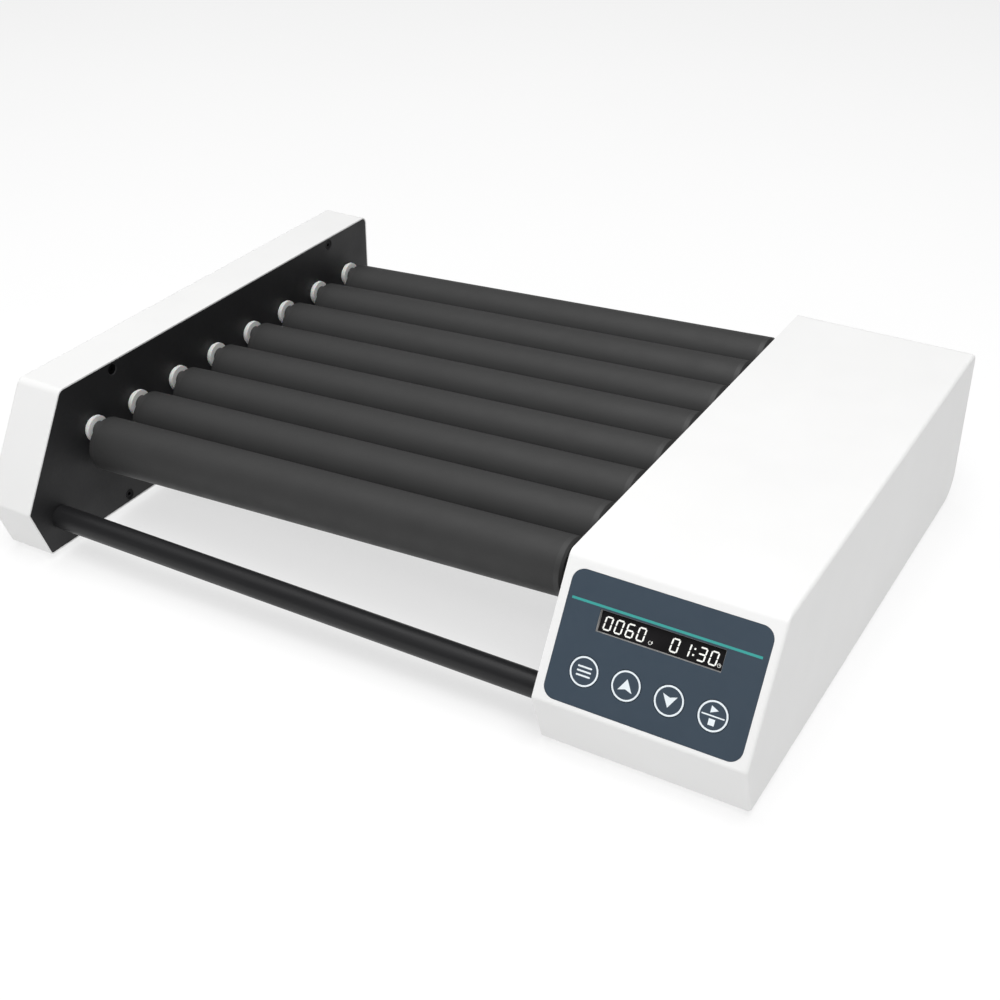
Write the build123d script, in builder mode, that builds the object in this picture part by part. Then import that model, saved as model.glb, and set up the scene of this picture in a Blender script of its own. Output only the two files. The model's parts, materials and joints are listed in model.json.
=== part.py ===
from build123d import *
from math import atan2, cos, hypot, radians, sin, tan
import os

# Tube roller mixer with eight rocking rollers between two bearing plates, an end
# housing on the left and a drive and control housing on the right.
# +X runs along the rollers to the control housing, +Y to the back, +Z up.
# The origin is on the floor, under the middle of the whole mixer.

# Driving dimensions, millimetres and degrees

# Frame and housings
bay_length = 305.0            # clear length between the two bearing plates
plate_thickness = 2.0
left_housing_width = 30.0     # from its outer side to the bay
right_housing_width = 104.0
housing_depth = 325.0
housing_height = 90.5
toe_setback = 11.0            # how far the bottom front edge lies behind the belly edge
belly_height = 30.5           # foremost edge, above the housing's bottom
brow_setback = 35.0           # top front edge, behind the belly edge
housing_wall = 2.5
rim_lip = 0.8                 # what is left of the wall round the bearing plate's edge
toe_radius = 2.2
belly_radius = 2.5
brow_radius = 5.0
rear_top_radius = 4.5
rear_bottom_radius = 16.0
side_edge_radius = 1.8        # rounding round each housing's outer side
foot_height = 3.5

# Rollers
roller_count = 8
roller_radius = 15.0
tube_wall = 2.0
first_axis_y = 55.5           # first rotation axis, behind the belly edge
last_axis_inset = 24.5        # last rotation axis, ahead of the rear face
axis_height = 58.5            # rotation axes, above the housing's bottom
throw = 10.3                  # offset of a roller's end from its rotation axis
rest_phase = 18.0             # lean of that offset from upright, at rest
roller_end_gap = 5.5          # roller end to bearing plate, at the roller's centre
plug_rim = 4.0
plug_edge_chamfer = 1.2
plug_spigot = 12.0
stub_root = 2.4               # stub axle sunk into its plug
stub_radius = 4.0
stub_shoulder_radius = 4.6
left_stub_tail = 2.0          # stub end beyond the left bush

# Bearing bushes
bush_flange_radius = 7.5
bush_flange = 1.8
bush_seat_radius = 6.6
bush_seat = 1.4               # flange stands this far off the plate
bush_sleeve_radius = 6.0
bush_tail = 3.0               # sleeve beyond the plate's outer face

# Belt drive
pulley_standoff = 1.0         # pulleys beyond the bushes' tails
pulley_flange_radius = 12.0
pulley_seat_radius = 10.0
pulley_flange = 1.2
belt_width = 4.0
belt_thickness = 1.4
motor_seat_radius = 7.0
motor_flange_radius = 9.0
motor_pulley_standoff = 2.0   # gearbox boss beyond the motor pulley
motor_drop = 25.0             # motor shaft below the roller axes
motor_shaft_radius = 3.0
gearbox_radius = 18.5
gearbox_length = 26.0
gearbox_boss_radius = 6.0
gearbox_boss = 6.0
shaft_entry = 4.0             # shaft inside the gearbox, behind its boss
motor_can_radius = 16.5
motor_can_length = 34.0
motor_can_chamfer = 1.2
motor_boss_radius = 4.0
motor_boss = 2.0
terminal_width = 4.0
terminal_thickness = 0.8
terminal_length = 5.0
terminal_spread = 20.0
shaft_offset = 7.0            # output shaft above the gearbox's centre
bracket_thickness = 2.5
bracket_width = 48.0
bracket_foot = 22.0
bracket_margin = 2.0          # bracket's top edge over the gearbox
bracket_corner = 4.0
bracket_screw_inset = 3.0     # from the gearbox's rim
bracket_screw_angle = 30.0    # each side, below level from the gearbox's centre
bracket_screw_reach = 4.0
bracket_screw_head = 2.0

# Tie rods and screws
rod_radius = 6.6
front_rod_y = 22.0            # behind the belly edge
rear_rod_inset = 23.0         # ahead of the rear face
rod_height = 19.0             # above the housing's bottom
rod_screw_radius = 2.5
rod_screw_reach = 12.0
rod_screw_head_radius = 4.5
rod_screw_head = 3.0
rod_bore_clearance = 1.0      # tapped hole beyond the screw's tip
plate_screw_front_y = 75.5
plate_screw_rear_inset = 43.5
plate_screw_inset = 5.2       # from the housing's top and bottom faces
plate_screw_radius = 1.5
plate_screw_head_radius = 2.9
countersink_angle = 90.0
plate_screw_sink = 0.4        # head's face below the plate's
plate_screw_length = 10.0
plate_screw_socket_radius = 1.2
screw_boss_radius = 4.0
screw_boss_length = 14.0

# Feet
foot_radius = 8.0
foot_flare = 4.0              # degrees, from the floor up to the housing
foot_front_y = 38.0
foot_rear_inset = 35.0
foot_side_inset = 15.0
foot_screw_radius = 1.5
foot_screw_head_radius = 3.0
foot_screw_head = 1.6
foot_screw_reach = 6.0
foot_boss_radius = 4.5
foot_boss_height = 6.0

# Control panel on the sloped front
key_names = ("menu_key", "up_key", "down_key", "start_stop_key")
overlay_side_margin = 4.2     # from the drive housing's sides to the overlay
overlay_lower_margin = 2.7    # up the slope from the belly edge to the overlay
overlay_upper_margin = 6.35
overlay_corner_radius = 6.2
overlay_thickness = 0.5
overlay_recess = 0.6
window_side_inset = 17.8      # from the overlay's ends to the display window
window_height = 10.3
window_shift = -0.8           # window's middle, from the overlay's
window_inset = 40.25          # window's centre, above the overlay's lower edge
glass_margin = 3.0            # glass beyond its window, behind the wall
glass_thickness = 1.1
key_radius = 7.1
key_side_inset = 16.9         # first and last key's centre, from the overlay's ends
key_inset = 16.35             # keys' centres, above the overlay's lower edge
key_cap = 1.6
key_travel = 0.5
key_stem_radius = 2.0
board_depth = 11.0            # control board's face behind the slope's surface
board_side_inset = 4.65       # control board's ends, in from the overlay's
board_end_inset = 6.0
board_thickness = 1.6
board_post_radius = 3.0
board_post_inset = 4.0
display_body_margin = 2.5
tact_switch_size = 6.0
tact_switch_base = 2.5
tact_switch_height = 3.5
processor_size = 12.0
processor_thickness = 1.5

# Rear connections
connector_height = 48.5       # inlet and switch centres, above the housing's bottom
inlet_from_side = 52.0        # inlet's centre, in from the right side face
inlet_body_width = 27.0
inlet_body_height = 20.0
inlet_body_depth = 24.0
inlet_flange_width = 31.0
inlet_flange_height = 24.0
inlet_flange = 2.0
inlet_corner_radius = 3.0
cavity_width = 24.4
cavity_height = 16.8
cavity_depth = 17.0
cavity_corner = 4.5
pin_width = 2.0
pin_height = 4.0
pin_length = 14.5
pin_spread = 14.0
earth_pin_rise = 4.0
blade_width = 4.8             # solder tabs behind the inlet and the switch
blade_thickness = 0.8
blade_length = 7.0
switch_from_side = 22.0
bezel_width = 15.0
bezel_height = 21.0
bezel_thickness = 2.0
bezel_corner = 1.5
switch_body_width = 13.0
switch_body_height = 19.0
switch_body_depth = 14.0
switch_well = 10.4            # rocker's well, from the bezel's face
switch_blade_spread = 10.0
rocker_window_width = 11.2
rocker_window_height = 17.0
rocker_width = 10.6
rocker_half_length = 7.3
rocker_edge_rise = 5.5        # rocker's end edges outside its pivot
rocker_middle_rise = 4.2
rocker_rim = 3.0              # rocker's end faces, inward from their edges
rocker_root = 3.0             # rocker's narrow back, from its pivot each way
rocker_tilt = 11.0
rocker_pivot_depth = 3.5      # pivot inside the bezel's face
rocker_pin_radius = 1.2

# Power supply board
supply_length = 95.0
supply_width = 62.0
supply_front_y = 95.0
supply_side_gap = 16.0        # from the right side wall
supply_post = 5.0
supply_post_inset = 5.0
vent_count = 6                # slots in the housing's floor, under the board
vent_length = 34.0
vent_width = 2.6
vent_pitch = 7.0
transformer_width = 28.0
transformer_length = 24.0
transformer_height = 22.0
capacitor_radius = 7.0
capacitor_height = 20.0
capacitor_spread = 24.0
capacitor_inset = 17.5        # from the board's rear end
heat_sink_width = 40.0
heat_sink_thickness = 3.0
heat_sink_height = 24.0
heat_sink_inset = 19.5        # from the board's front end

# Named clearances
running_gap = 0.05            # radial, shaft in its bush or boss
turning_gap = 0.3             # between a turning piece and its fixed neighbour
seat_gap = 0.1                # between fixed pieces that sit in each other
key_gap = 0.2

# Places worked out from the driving dimensions

tilt = radians(rocker_tilt)
rocker_reach = rocker_edge_rise * cos(tilt) + rocker_half_length * sin(tilt)
rear_projection = bezel_thickness - rocker_pivot_depth + rocker_reach

overall_width = left_housing_width + bay_length + right_housing_width
left_outer_x = -overall_width / 2
bay_left_x = left_outer_x + left_housing_width
left_plate_x = bay_left_x - plate_thickness
bay_right_x = bay_left_x + bay_length
right_plate_x = bay_right_x + plate_thickness
right_outer_x = bay_right_x + right_housing_width

front_y = -(housing_depth + rear_projection) / 2
rear_y = front_y + housing_depth
base_z = foot_height
top_z = base_z + housing_height

axis_z = base_z + axis_height
roller_pitch = (housing_depth - first_axis_y - last_axis_inset) / (roller_count - 1)
roller_ys = [front_y + first_axis_y + index * roller_pitch for index in range(roller_count)]
bay_middle_x = (bay_left_x + bay_right_x) / 2
roller_span = bay_length - 2 * roller_end_gap
roller_length = hypot(roller_span, 2 * throw)
end_rise_y = -throw * sin(radians(rest_phase))
end_rise_z = throw * cos(radians(rest_phase))
roller_direction = Vector(roller_span, 2 * end_rise_y, 2 * end_rise_z).normalized()

groove_width = belt_width + 2 * turning_gap
pulley_width = 2 * groove_width + 3 * pulley_flange
pulley_x = right_plate_x + bush_tail + pulley_standoff
groove_xs = [pulley_x + pulley_flange + groove_width / 2,
             pulley_x + 2 * pulley_flange + 1.5 * groove_width]
right_stub_x = pulley_x + pulley_width + pulley_standoff
motor_y = (roller_ys[-2] + roller_ys[-1]) / 2
motor_z = axis_z - motor_drop
motor_pulley_width = groove_width + 2 * pulley_flange
motor_pulley_x = groove_xs[1] - motor_pulley_width / 2
gearbox_boss_x = motor_pulley_x + motor_pulley_width + motor_pulley_standoff
gearbox_x = gearbox_boss_x + gearbox_boss
gearbox_z = motor_z - shaft_offset
bracket_screw_circle = gearbox_radius - bracket_screw_inset
bracket_screw_run = bracket_screw_circle * cos(radians(bracket_screw_angle))
bracket_screw_z = gearbox_z - bracket_screw_circle * sin(radians(bracket_screw_angle))
bracket_screw_spots = [(motor_y + side * bracket_screw_run, bracket_screw_z) for side in (-1, 1)]

rod_z = base_z + rod_height
rod_ys = [front_y + front_rod_y, rear_y - rear_rod_inset]
plate_screw_head = (plate_screw_head_radius - plate_screw_radius) / tan(radians(countersink_angle / 2))
plate_screws = [(y, z) for y in (front_y + plate_screw_front_y, rear_y - plate_screw_rear_inset)
                for z in (base_z + plate_screw_inset, top_z - plate_screw_inset)]
foot_ys = [front_y + foot_front_y, rear_y - foot_rear_inset]
foot_xs = [left_outer_x + foot_side_inset, right_outer_x - foot_side_inset]

slope_angle = atan2(housing_height - belly_height, brow_setback)
slope_length = hypot(housing_height - belly_height, brow_setback)
panel_x = (bay_right_x + right_outer_x) / 2
panel = Plane(
    origin=(panel_x, front_y, base_z + belly_height),
    x_dir=(1, 0, 0),
    z_dir=(0, -sin(slope_angle), cos(slope_angle)),
)
overlay_width = right_housing_width - 2 * overlay_side_margin
overlay_height = slope_length - overlay_lower_margin - overlay_upper_margin
overlay_rise = overlay_lower_margin + overlay_height / 2
window_width = overlay_width - 2 * window_side_inset
window_rise = overlay_lower_margin + window_inset
key_rise = overlay_lower_margin + key_inset
first_key_u = key_side_inset - overlay_width / 2
key_pitch = -2 * first_key_u / (len(key_names) - 1)
key_us = [first_key_u + index * key_pitch for index in range(len(key_names))]
board_width = overlay_width - 2 * board_side_inset
board_height = overlay_height - 2 * board_end_inset
post_u = board_width / 2 - board_post_inset
post_v = board_height / 2 - board_post_inset
board_posts = [(i * post_u, overlay_rise + j * post_v) for i in (-1, 1) for j in (-1, 1)]
glass_depth = housing_wall + seat_gap
wall_cut = housing_wall + seat_gap

connector_z = base_z + connector_height
inlet_x = right_outer_x - inlet_from_side
switch_x = right_outer_x - switch_from_side
rocker_pivot_y = rear_y + bezel_thickness - rocker_pivot_depth

supply_x = right_outer_x - housing_wall - supply_side_gap - supply_width / 2
supply_y = front_y + supply_front_y + supply_length / 2
supply_post_x = supply_width / 2 - supply_post_inset
supply_post_y = supply_length / 2 - supply_post_inset
supply_posts = [(supply_x + i * supply_post_x, supply_y + j * supply_post_y)
                for i in (-1, 1) for j in (-1, 1)]


def x_plane(x, y=0.0, z=0.0):
    """Plane facing +X, with its own x along Y and its own y along Z."""
    return Plane(origin=(x, y, z), x_dir=(0, 1, 0), z_dir=(1, 0, 0))


def rear_plane(x, y, z):
    """Plane facing +Y, with its own x along -X and its own y along Z."""
    return Plane(origin=(x, y, z), x_dir=(-1, 0, 0), z_dir=(0, 1, 0))


def save(part, name):
    part.label = name
    export_step(part, f"parts/{name}.step")


# Housings and bearing plates

def side_profile(x, inset=0.0):
    """The outline that housings and plates share, drawn on a plane facing +X."""
    corners = [
        ((front_y + toe_setback, base_z), toe_radius),
        ((front_y, base_z + belly_height), belly_radius),
        ((front_y + brow_setback, top_z), brow_radius),
        ((rear_y, top_z), rear_top_radius),
        ((rear_y, base_z), rear_bottom_radius),
    ]
    with BuildSketch(x_plane(x)) as outline:
        with BuildLine():
            Polyline([point for point, radius in corners], close=True)
        make_face()
        for point, radius in corners:
            fillet(outline.vertices().sort_by_distance(point)[0], radius)
        if inset:
            offset(amount=-inset, kind=Kind.INTERSECTION)
    return outline.sketch


def bearing_plate(inner_x, inward):
    """A flat side plate; inward is the X direction that its bay face looks in."""
    with BuildPart() as plate:
        add(side_profile(inner_x, rim_lip + seat_gap))
        extrude(amount=-inward * plate_thickness, dir=(1, 0, 0))
        with BuildSketch(x_plane(inner_x)):
            with Locations(*[(y, axis_z) for y in roller_ys]):
                Circle(bush_sleeve_radius + running_gap)
            with Locations(*[(y, rod_z) for y in rod_ys]):
                Circle(rod_screw_radius + seat_gap)
        extrude(amount=-inward * plate_thickness, dir=(1, 0, 0), mode=Mode.SUBTRACT)
        faces = [Plane(origin=(inner_x, y, z), x_dir=(0, 1, 0), z_dir=(inward, 0, 0))
                 for y, z in plate_screws]
        with Locations(*faces):
            CounterSinkHole(
                plate_screw_radius + seat_gap,
                plate_screw_head_radius + plate_screw_sink + seat_gap,
                plate_thickness,
                countersink_angle,
            )
    return plate.part


def housing_shell(bay_x, outer_x):
    """A moulded shell, open to the bay, with a rebate for its plate and screw bosses."""
    width = outer_x - bay_x
    outward = 1 if width > 0 else -1
    plate_x = bay_x + outward * plate_thickness
    with BuildPart() as shell:
        add(side_profile(bay_x))
        extrude(amount=width, dir=(1, 0, 0))
        outer_face = shell.faces().sort_by(Axis.X)[-1 if outward > 0 else 0]
        fillet(outer_face.edges(), side_edge_radius)
        add(side_profile(bay_x, housing_wall))
        extrude(amount=width - outward * housing_wall, dir=(1, 0, 0), mode=Mode.SUBTRACT)
        add(side_profile(bay_x, rim_lip))
        extrude(amount=outward * plate_thickness, dir=(1, 0, 0), mode=Mode.SUBTRACT)

        with BuildSketch(x_plane(plate_x)):
            with Locations(*plate_screws):
                Circle(screw_boss_radius)
        extrude(amount=outward * screw_boss_length)
        with BuildSketch(x_plane(plate_x)):
            with Locations(*plate_screws):
                Circle(plate_screw_radius)
        extrude(amount=outward * plate_screw_length, mode=Mode.SUBTRACT)

        foot_x = foot_xs[1] if outward > 0 else foot_xs[0]
        with BuildSketch(Plane.XY.offset(base_z)):
            with Locations(*[(foot_x, y) for y in foot_ys]):
                Circle(foot_boss_radius)
        extrude(amount=foot_boss_height)
        with BuildSketch(Plane.XY.offset(base_z)):
            with Locations(*[(foot_x, y) for y in foot_ys]):
                Circle(foot_screw_radius)
        extrude(amount=foot_screw_reach, mode=Mode.SUBTRACT)
    return shell.part


def right_housing():
    """The drive housing: panel recess, display and key openings, rear cut-outs."""
    with BuildPart() as housing:
        add(housing_shell(bay_right_x, right_outer_x))

        with BuildSketch(panel.offset(-overlay_recess)):
            with Locations((0, overlay_rise)):
                RectangleRounded(
                    overlay_width + 2 * seat_gap, overlay_height + 2 * seat_gap, overlay_corner_radius
                )
        extrude(amount=2 * overlay_recess, mode=Mode.SUBTRACT)
        with BuildSketch(panel):
            with Locations((window_shift, window_rise)):
                Rectangle(window_width, window_height)
            with Locations(*[(u, key_rise) for u in key_us]):
                Circle(key_radius + 2 * key_gap)
        extrude(amount=-wall_cut, mode=Mode.SUBTRACT)

        with BuildSketch(panel.offset(-housing_wall)):
            with Locations(*board_posts):
                Circle(board_post_radius)
        extrude(amount=-(board_depth - housing_wall))

        with BuildSketch(rear_plane(inlet_x, rear_y, connector_z)):
            Rectangle(inlet_body_width + 2 * seat_gap, inlet_body_height + 2 * seat_gap)
        extrude(amount=-wall_cut, mode=Mode.SUBTRACT)
        with BuildSketch(rear_plane(switch_x, rear_y, connector_z)):
            Rectangle(switch_body_width + 2 * seat_gap, switch_body_height + 2 * seat_gap)
        extrude(amount=-wall_cut, mode=Mode.SUBTRACT)

        floor = Plane.XY.offset(base_z + housing_wall)
        with BuildSketch(floor):
            with Locations(*supply_posts):
                Circle(board_post_radius)
        extrude(amount=supply_post)
        with BuildSketch(floor):
            with Locations((supply_x, supply_y)):
                with GridLocations(0, vent_pitch, 1, vent_count):
                    SlotOverall(vent_length, vent_width)
        extrude(amount=-housing_wall, mode=Mode.SUBTRACT)
    return housing.part


# Screws, feet and tie rods

def plate_screw_set(inner_x, inward):
    """Countersunk screws from the bay through a plate into its housing's bosses."""
    with BuildPart() as screws:
        for y, z in plate_screws:
            head_x = inner_x - inward * plate_screw_sink
            head_face = Plane(origin=(head_x, y, z), x_dir=(0, 1, 0), z_dir=(-inward, 0, 0))
            with BuildSketch(head_face):
                Circle(plate_screw_head_radius)
            extrude(amount=plate_screw_head, taper=countersink_angle / 2)
            with BuildSketch(head_face):
                Circle(plate_screw_radius - seat_gap)
            extrude(amount=plate_screw_length)
            with BuildSketch(head_face):
                RegularPolygon(plate_screw_socket_radius, 6)
            extrude(amount=plate_screw_head, mode=Mode.SUBTRACT)
    return screws.part


def tie_rod(y):
    """A plain rod between the plates, tapped at both ends."""
    with BuildPart() as rod:
        with BuildSketch(x_plane(bay_left_x, y, rod_z)):
            Circle(rod_radius)
        extrude(amount=bay_length)
        for end_x, inward in ((bay_left_x, 1), (bay_right_x, -1)):
            with BuildSketch(x_plane(end_x, y, rod_z)):
                Circle(rod_screw_radius)
            extrude(amount=inward * (rod_screw_reach + rod_bore_clearance), mode=Mode.SUBTRACT)
    return rod.part


def tie_rod_screw_set():
    """Pan-head screws outside the plates, one into each end of each rod."""
    with BuildPart() as screws:
        for x, inward in ((left_plate_x, 1), (right_plate_x, -1)):
            for y in rod_ys:
                with BuildSketch(x_plane(x, y, rod_z)):
                    Circle(rod_screw_head_radius)
                extrude(amount=-inward * rod_screw_head)
                with BuildSketch(x_plane(x, y, rod_z)):
                    Circle(rod_screw_radius - seat_gap)
                extrude(amount=inward * (plate_thickness + rod_screw_reach))
    return screws.part


def rubber_foot_set():
    with BuildPart() as feet:
        with BuildSketch(Plane.XY):
            with Locations(*[(x, y) for x in foot_xs for y in foot_ys]):
                Circle(foot_radius)
        extrude(amount=foot_height, taper=-foot_flare)
        with BuildSketch(Plane.XY):
            with Locations(*[(x, y) for x in foot_xs for y in foot_ys]):
                Circle(foot_screw_head_radius + seat_gap)
        extrude(amount=foot_height / 2, mode=Mode.SUBTRACT)
        with BuildSketch(Plane.XY):
            with Locations(*[(x, y) for x in foot_xs for y in foot_ys]):
                Circle(foot_screw_radius + seat_gap)
        extrude(amount=foot_height, mode=Mode.SUBTRACT)
    return feet.part


def foot_screw_set():
    head_top = Plane.XY.offset(foot_height / 2)
    spots = [(x, y) for x in foot_xs for y in foot_ys]
    with BuildPart() as screws:
        with BuildSketch(head_top):
            with Locations(*spots):
                Circle(foot_screw_head_radius)
        extrude(amount=-foot_screw_head)
        with BuildSketch(head_top):
            with Locations(*spots):
                Circle(foot_screw_radius - seat_gap)
        extrude(amount=foot_height / 2 + foot_screw_reach - seat_gap)
    return screws.part


# Rollers, their bushes and the belt drive

def roller_end_plane(y, side):
    """Plane on a roller's end face, looking out of the roller."""
    end = (
        bay_middle_x + side * roller_span / 2,
        y + side * end_rise_y,
        axis_z + side * end_rise_z,
    )
    return Plane(origin=end, z_dir=roller_direction * side)


def roller_tube(y):
    """The skewed tube: it crosses its rotation axis at mid-length."""
    left_end = roller_end_plane(y, -1)
    with BuildPart() as tube:
        with BuildSketch(left_end.offset(-plug_rim)):
            Circle(roller_radius)
            Circle(roller_radius - tube_wall, mode=Mode.SUBTRACT)
        extrude(amount=-(roller_length - 2 * plug_rim))
    return tube.part


def roller_end_plugs(y):
    """Both end plugs, each with a stub axle on the rotation axis, off the tube's centre."""
    left_stub_end = left_plate_x - bush_tail - left_stub_tail
    shoulder_gap = bush_seat + bush_flange + turning_gap
    stub_runs = [
        (-1, bay_left_x + roller_end_gap, bay_left_x + shoulder_gap, left_stub_end),
        (1, bay_right_x - roller_end_gap, bay_right_x - shoulder_gap, right_stub_x),
    ]
    with BuildPart() as plugs:
        for side, face_x, shoulder_x, stub_end_x in stub_runs:
            face = roller_end_plane(y, side)
            with BuildSketch(face):
                Circle(roller_radius)
            extrude(amount=-plug_rim)
            rim = plugs.edges().filter_by(GeomType.CIRCLE).sort_by(Axis.X)[0 if side < 0 else -1]
            chamfer(rim, plug_edge_chamfer)
            with BuildSketch(face.offset(-plug_rim)):
                Circle(roller_radius - tube_wall - running_gap)
            extrude(amount=-plug_spigot)
            root_x = face_x - side * stub_root
            with BuildSketch(x_plane(root_x, y, axis_z)):
                Circle(stub_shoulder_radius)
            extrude(amount=shoulder_x - root_x)
            with BuildSketch(x_plane(root_x, y, axis_z)):
                Circle(stub_radius)
            extrude(amount=stub_end_x - root_x)
    return plugs.part


def bearing_bush_set(inner_x, inward):
    """Flanged bushes in a plate, one on each rotation axis."""
    spots = [(y, axis_z) for y in roller_ys]
    with BuildPart() as bushes:
        with BuildSketch(x_plane(inner_x)):
            with Locations(*spots):
                Circle(bush_seat_radius)
        extrude(amount=inward * bush_seat)
        with BuildSketch(x_plane(inner_x + inward * bush_seat)):
            with Locations(*spots):
                Circle(bush_flange_radius)
        extrude(amount=inward * bush_flange)
        with BuildSketch(x_plane(inner_x)):
            with Locations(*spots):
                Circle(bush_sleeve_radius)
        extrude(amount=-inward * (plate_thickness + bush_tail))
        with BuildSketch(x_plane(inner_x - inward * (plate_thickness + bush_tail))):
            with Locations(*spots):
                Circle(stub_radius + running_gap)
        bore = bush_seat + bush_flange + plate_thickness + bush_tail
        extrude(amount=inward * bore, mode=Mode.SUBTRACT)
    return bushes.part


def roller_pulley(y):
    """Two flat-belt seats between three flanges, pressed on the stub axle."""
    seat, rim = pulley_seat_radius, pulley_flange_radius
    with BuildPart() as pulley:
        with BuildSketch(x_plane(pulley_x, y, axis_z)):
            Circle(seat)
        extrude(amount=pulley_width)
        for index in range(3):
            flange_x = pulley_x + index * (pulley_flange + groove_width)
            with BuildSketch(x_plane(flange_x, y, axis_z)):
                Circle(rim)
            extrude(amount=pulley_flange)
        with BuildSketch(x_plane(pulley_x, y, axis_z)):
            Circle(stub_radius)
        extrude(amount=pulley_width, mode=Mode.SUBTRACT)
    return pulley.part


def belt(groove_x, first, second):
    """An open belt round two pulleys, each given as (y, z, seat radius)."""
    with BuildPart() as loop:
        for grow, mode in ((turning_gap + belt_thickness, Mode.ADD), (turning_gap, Mode.SUBTRACT)):
            with BuildSketch(x_plane(groove_x - belt_width / 2)) as outline:
                for y, z, radius in (first, second):
                    with Locations((y, z)):
                        Circle(radius + grow)
                make_hull()
            extrude(amount=belt_width, mode=mode)
    return loop.part


def drive_belt_set():
    """Belts from each roller to the next, in alternate grooves."""
    pairs = zip(roller_ys[:-1], roller_ys[1:])
    loops = [
        belt(groove_xs[index % 2], (y, axis_z, pulley_seat_radius), (next_y, axis_z, pulley_seat_radius))
        for index, (y, next_y) in enumerate(pairs)
    ]
    with BuildPart() as belts:
        for loop in loops:
            add(loop)
    return belts.part


def motor_pulley():
    with BuildPart() as pulley:
        with BuildSketch(x_plane(motor_pulley_x, motor_y, motor_z)):
            Circle(motor_seat_radius)
        extrude(amount=motor_pulley_width)
        for flange_x in (motor_pulley_x, motor_pulley_x + motor_pulley_width - pulley_flange):
            with BuildSketch(x_plane(flange_x, motor_y, motor_z)):
                Circle(motor_flange_radius)
            extrude(amount=pulley_flange)
        with BuildSketch(x_plane(motor_pulley_x, motor_y, motor_z)):
            Circle(motor_shaft_radius)
        extrude(amount=motor_pulley_width, mode=Mode.SUBTRACT)
    return pulley.part


def motor_shaft():
    with BuildPart() as shaft:
        with BuildSketch(x_plane(motor_pulley_x, motor_y, motor_z)):
            Circle(motor_shaft_radius)
        extrude(amount=gearbox_x + shaft_entry - motor_pulley_x)
    return shaft.part


def drive_gearbox():
    """Round spur gearbox with its output boss above its centre."""
    with BuildPart() as gearbox:
        with BuildSketch(x_plane(gearbox_x, motor_y, gearbox_z)):
            Circle(gearbox_radius)
        extrude(amount=gearbox_length)
        with BuildSketch(x_plane(gearbox_x, motor_y, motor_z)):
            Circle(gearbox_boss_radius)
        extrude(amount=-gearbox_boss)
        with BuildSketch(x_plane(gearbox_boss_x, motor_y, motor_z)):
            Circle(motor_shaft_radius + running_gap)
        extrude(amount=gearbox_boss + shaft_entry + turning_gap, mode=Mode.SUBTRACT)
        with BuildSketch(x_plane(gearbox_x)):
            with Locations(*bracket_screw_spots):
                Circle(plate_screw_radius)
        extrude(amount=bracket_screw_reach, mode=Mode.SUBTRACT)
    return gearbox.part


def drive_motor_can():
    """Drawn can with its rear bearing boss and two terminals."""
    can_x = gearbox_x + gearbox_length
    with BuildPart() as can:
        with BuildSketch(x_plane(can_x, motor_y, gearbox_z)):
            Circle(motor_can_radius)
        extrude(amount=motor_can_length)
        chamfer(can.faces().sort_by(Axis.X)[-1].edges(), motor_can_chamfer)
        with BuildSketch(x_plane(can_x + motor_can_length, motor_y, gearbox_z)):
            Circle(motor_boss_radius)
        extrude(amount=motor_boss)
        with BuildSketch(x_plane(can_x + motor_can_length, motor_y, gearbox_z)):
            with GridLocations(terminal_spread, 0, 2, 1):
                Rectangle(terminal_thickness, terminal_width)
        extrude(amount=terminal_length)
    return can.part


def motor_bracket():
    """Bent angle: an upright face for the gearbox and a foot on the housing's floor."""
    floor_z = base_z + housing_wall
    face_top = gearbox_z + gearbox_radius + bracket_margin
    with BuildPart() as bracket:
        with BuildSketch(x_plane(gearbox_x - bracket_thickness, motor_y, 0)):
            with Locations((0, (floor_z + face_top) / 2)):
                Rectangle(bracket_width, face_top - floor_z)
        extrude(amount=bracket_thickness)
        with BuildSketch(Plane.XY.offset(floor_z)):
            with Locations((gearbox_x - bracket_thickness + bracket_foot / 2, motor_y)):
                Rectangle(bracket_foot, bracket_width)
        extrude(amount=bracket_thickness)
        with BuildSketch(x_plane(gearbox_x - bracket_thickness)):
            with Locations((motor_y, motor_z)):
                Circle(gearbox_boss_radius + seat_gap)
            with Locations(*bracket_screw_spots):
                Circle(plate_screw_radius + seat_gap)
        extrude(amount=bracket_thickness, mode=Mode.SUBTRACT)
        upright = bracket.edges().filter_by(Axis.X).group_by(Axis.Z)[-1]
        fillet(upright, bracket_corner)
    return bracket.part


def bracket_screw_set():
    with BuildPart() as screws:
        for y, z in bracket_screw_spots:
            with BuildSketch(x_plane(gearbox_x - bracket_thickness, y, z)):
                Circle(plate_screw_head_radius)
            extrude(amount=-bracket_screw_head)
            with BuildSketch(x_plane(gearbox_x - bracket_thickness, y, z)):
                Circle(plate_screw_radius)
            extrude(amount=bracket_thickness + bracket_screw_reach)
    return screws.part


# Control panel

def fascia_overlay():
    """Thin printed panel with the display window and four key openings."""
    with BuildPart() as overlay:
        with BuildSketch(panel.offset(-overlay_recess)):
            with Locations((0, overlay_rise)):
                RectangleRounded(overlay_width, overlay_height, overlay_corner_radius)
            with Locations((window_shift, window_rise)):
                Rectangle(window_width, window_height, mode=Mode.SUBTRACT)
            with Locations(*[(u, key_rise) for u in key_us]):
                Circle(key_radius + key_gap, mode=Mode.SUBTRACT)
        extrude(amount=overlay_thickness)
    return overlay.part


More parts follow.
